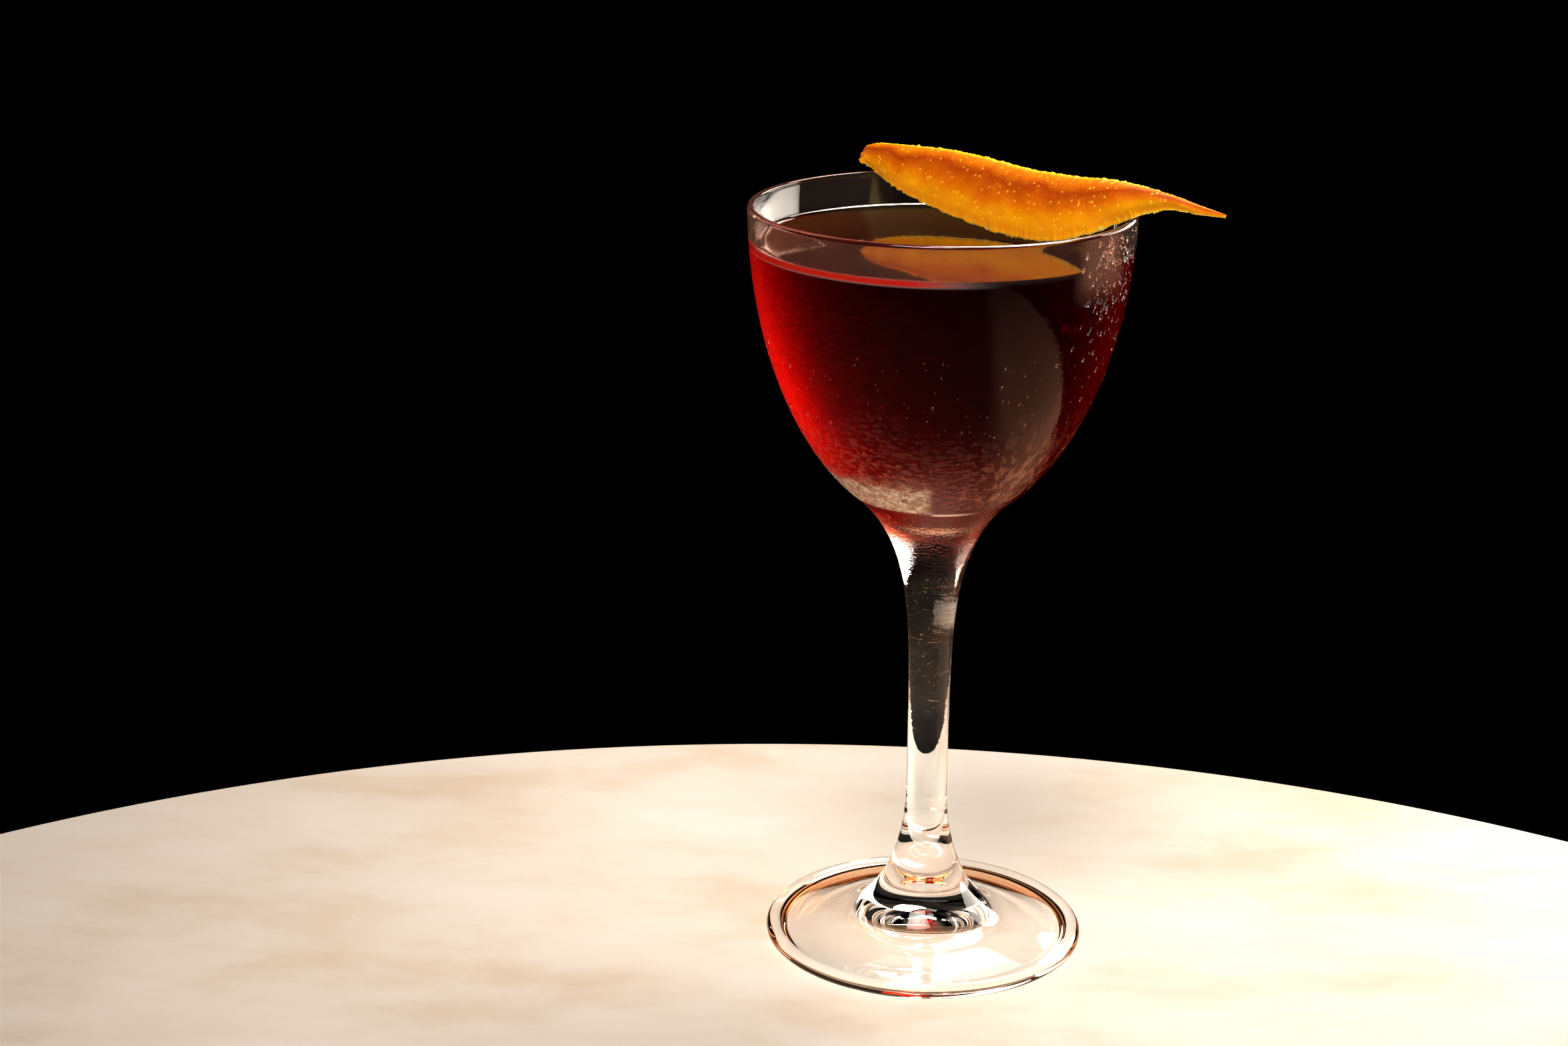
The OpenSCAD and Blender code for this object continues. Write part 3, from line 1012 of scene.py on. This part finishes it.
def table():
    """Round pale table top with a small rounded edge."""
    stone = Shader("pale_stone", Roughness=0.32, IOR=1.45)
    clouds = stone.noise(0.06, detail=6.0, rough=0.6, vector=stone.stretched(1, 1.8, 1))
    stone.set("Base Color", stone.ramp(clouds, STONE_TONES))
    stone.set("Roughness", stone.spread(clouds, 0.3, 0.7, 0.6, 0.5))
    corner = [
        (TABLE_RADIUS - TABLE_EDGE + TABLE_EDGE * math.cos(a), -TABLE_EDGE + TABLE_EDGE * math.sin(a))
        for a in (math.pi / 2 * k / 8 for k in range(9))
    ]
    bottom = [(0.0, -TABLE_THICKNESS), (TABLE_RADIUS, -TABLE_THICKNESS)]
    outline = bottom + corner + [(TABLE_RADIUS * 0.5, 0.0), (0.0, 0.0)]
    top = lathe("table_top", outline, [0] * (len(outline) - 1), [stone.material], sharp=[1])
    top.location = TABLE_CENTRE - Vector((0, 0, TABLE_DROP))


def reflection_shade_card():
    """Black sheet just above the table, which only mirror reflections see: painted shade that keeps the
    glass's front dark.

    It leaves the right of the table and a ring around the foot free, with soft borders. A warm tint,
    painted into what the glass reflects there, covers both.
    """
    black = Shader("reflection_shade_black", Base_Color=(0.004, 0.003, 0.003, 1), Roughness=0.9)
    x, y, _ = black.axes()
    right = black.maths("ADD", x, black.times(y, CARD_SLANT))
    open_right = black.spread(right, CARD_EDGE - CARD_FADE, CARD_EDGE + CARD_FADE)
    distance = black.node("VectorMath", Vector=black.place)
    distance.operation = "LENGTH"
    near_foot = black.fade(distance.outputs["Value"], *RING_REACH)
    black.open_up(black.largest(open_right, near_foot), REFLECTION_WARM_TINT)
    reach = TABLE_RADIUS * 2
    signs = ((-1, -1), (1, -1), (1, 1), (-1, 1))
    corners = [(side * reach, end * reach, CARD_HEIGHT) for side, end in signs]
    card = new_piece("reflection_shade_card", corners, [(0, 1, 2, 3)], [black.material], smooth=False)
    for ray in ("camera", "diffuse", "transmission", "volume_scatter", "shadow"):
        setattr(card, "visible_" + ray, False)


# ---------------------------------------------------------------- lights, camera and room

WARM_WHITE = (1.0, 0.93, 0.84)


def area_light(name, place, aim, size, power, shape="RECTANGLE", spread=180):
    data = bpy.data.lights.new(name, "AREA")
    data.shape = shape
    data.size, data.size_y = size
    data.energy = power
    data.spread = math.radians(spread)
    data.color = WARM_WHITE
    light = bpy.data.objects.new(name, data)
    light.location = place
    light.rotation_euler = (Vector(aim) - place).to_track_quat("-Z", "Y").to_euler()
    light.visible_camera = False
    bpy.context.scene.collection.objects.link(light)
    return light


def around(azimuth, elevation, distance):
    """A place round the glass: azimuth from +Y towards +X, elevation above the level, both in degrees."""
    a, e = math.radians(azimuth), math.radians(elevation)
    return distance * Vector((math.sin(a) * math.cos(e), math.cos(a) * math.cos(e), math.sin(e)))


def lights():
    middle = (0.0, 0.0, GLASS_HEIGHT * 0.6)
    behind_foot = (0.04, 0.06, 0.0)
    area_light("key_right", around(52, 24, 0.62), middle, (0.50, 0.40), 4.5, shape="ELLIPSE")
    area_light("key_back", around(30, 58, 0.60), behind_foot, (0.30, 0.25), 0.66, spread=80)
    area_light("strip_left", around(-40, 18, 0.6), middle, (0.012, 0.30), 0.16)
    area_light("fill_front", around(195, 66, 0.8), middle, (0.35, 0.35), 0.58, spread=50)
    fill_low = area_light("fill_low", around(200, 12, 0.5), middle, (0.30, 0.15), 0.12, spread=60)
    fill_low.visible_glossy = False


# place, angles in degrees and lens of a camera fitted to the ellipses of the lip and the foot
CAMERA_PLACE = Vector((0.0, -0.5041, 0.2387))
CAMERA_YAW = -3.058
CAMERA_PITCH = 17.513
CAMERA_ROLL = 0.682
CAMERA_LENS = 67.52
SENSOR_WIDTH = 36.0


def camera():
    data = bpy.data.cameras.new("camera")
    data.sensor_fit = "HORIZONTAL"
    data.sensor_width = SENSOR_WIDTH
    data.lens = CAMERA_LENS
    data.clip_start = 0.01
    data.dof.use_dof = False
    yaw, pitch, roll = (math.radians(a) for a in (CAMERA_YAW, CAMERA_PITCH, CAMERA_ROLL))
    ahead = Vector((math.sin(yaw) * math.cos(pitch), math.cos(yaw) * math.cos(pitch), -math.sin(pitch)))
    level = Vector((math.cos(yaw), -math.sin(yaw), 0))
    up = level.cross(ahead)
    side = level * math.cos(roll) + up * math.sin(roll)
    top = up * math.cos(roll) - level * math.sin(roll)
    view = bpy.data.objects.new("camera", data)
    view.matrix_world = Matrix((
        (side.x, top.x, -ahead.x, CAMERA_PLACE.x),
        (side.y, top.y, -ahead.y, CAMERA_PLACE.y),
        (side.z, top.z, -ahead.z, CAMERA_PLACE.z),
        (0, 0, 0, 1),
    ))
    bpy.context.scene.collection.objects.link(view)
    bpy.context.scene.camera = view


ROOM_COLOUR = (0.9, 0.8, 0.7, 1)
ROOM_STRENGTH = 0.0004
DISPLAY_GAMMA = 0.74


def surroundings():
    """A nearly black room, the photograph's crushed contrast, and how far light is followed."""
    scene = bpy.context.scene
    world = bpy.data.worlds.new("dark_room")
    world.use_nodes = True
    backdrop = world.node_tree.nodes["Background"]
    backdrop.inputs["Color"].default_value = ROOM_COLOUR
    backdrop.inputs["Strength"].default_value = ROOM_STRENGTH
    scene.world = world
    scene.view_settings.view_transform = "Standard"
    scene.view_settings.look = "None"
    scene.view_settings.gamma = DISPLAY_GAMMA
    scene.cycles.sample_clamp_indirect = 0.0
    scene.cycles.max_bounces = 32
    scene.cycles.transmission_bounces = 32
    scene.cycles.transparent_max_bounces = 32
    scene.cycles.glossy_bounces = 8
    scene.cycles.diffuse_bounces = 4
    scene.cycles.caustics_reflective = True
    scene.cycles.caustics_refractive = False
    scene.cycles.use_denoising = True


# ---------------------------------------------------------------- the object

def build():
    rng = random.Random(SEED)
    skin = joint_skin()
    clear = clear_glass("clear_glass")
    wetted = clear_glass("wetted_glass", GLASS_IOR / DRINK_IOR)
    drop_water = water()

    glass_pieces = [
        (glass_bowl(clear, misted_glass(), wetted, skin), "bowl_glass", ["bowl"]),
        (glass_stem(wet_stem_glass(), skin), "stem_glass", ["stem"]),
        (glass_foot(clear, skin), "foot_glass", ["foot"]),
        (drink_body(), "drink_red", ["drink"]),
        (drink_surface(), "drink_red", []),
        (drops("smear_drops", smear_drops(rng), drop_water), "bowl_glass", []),
        (drops("mist_drops", mist_drops(rng), drop_water, segments=8, rings=3), "bowl_glass", []),
    ]
    zest_low, zest_high = PITH_THICKNESS * 0.95, PITH_THICKNESS + ZEST_THICKNESS
    zest = peel_grid("zest", 430, 66, zest_low, zest_high, zest_material(),
                     edge_depth=0.55 * MM, seed=1.0, relief=zest_relief)
    pith = peel_grid("pith", 300, 40, 0.0, PITH_THICKNESS, pith_material(),
                     edge_depth=0.45 * MM, seed=2.0)
    pith.visible_shadow = False
    peel_pieces = [(zest, "zest_orange", ["peel_zest"]), (pith, "pith_cream", ["peel_pith"])]

    for body, pieces in (("glass", glass_pieces), ("garnish", peel_pieces)):
        for piece, slot, nodes in pieces:
            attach(piece, body)
            if nodes:
                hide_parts(*nodes)


camera()
build()
table()
reflection_shade_card()
lights()
surroundings()
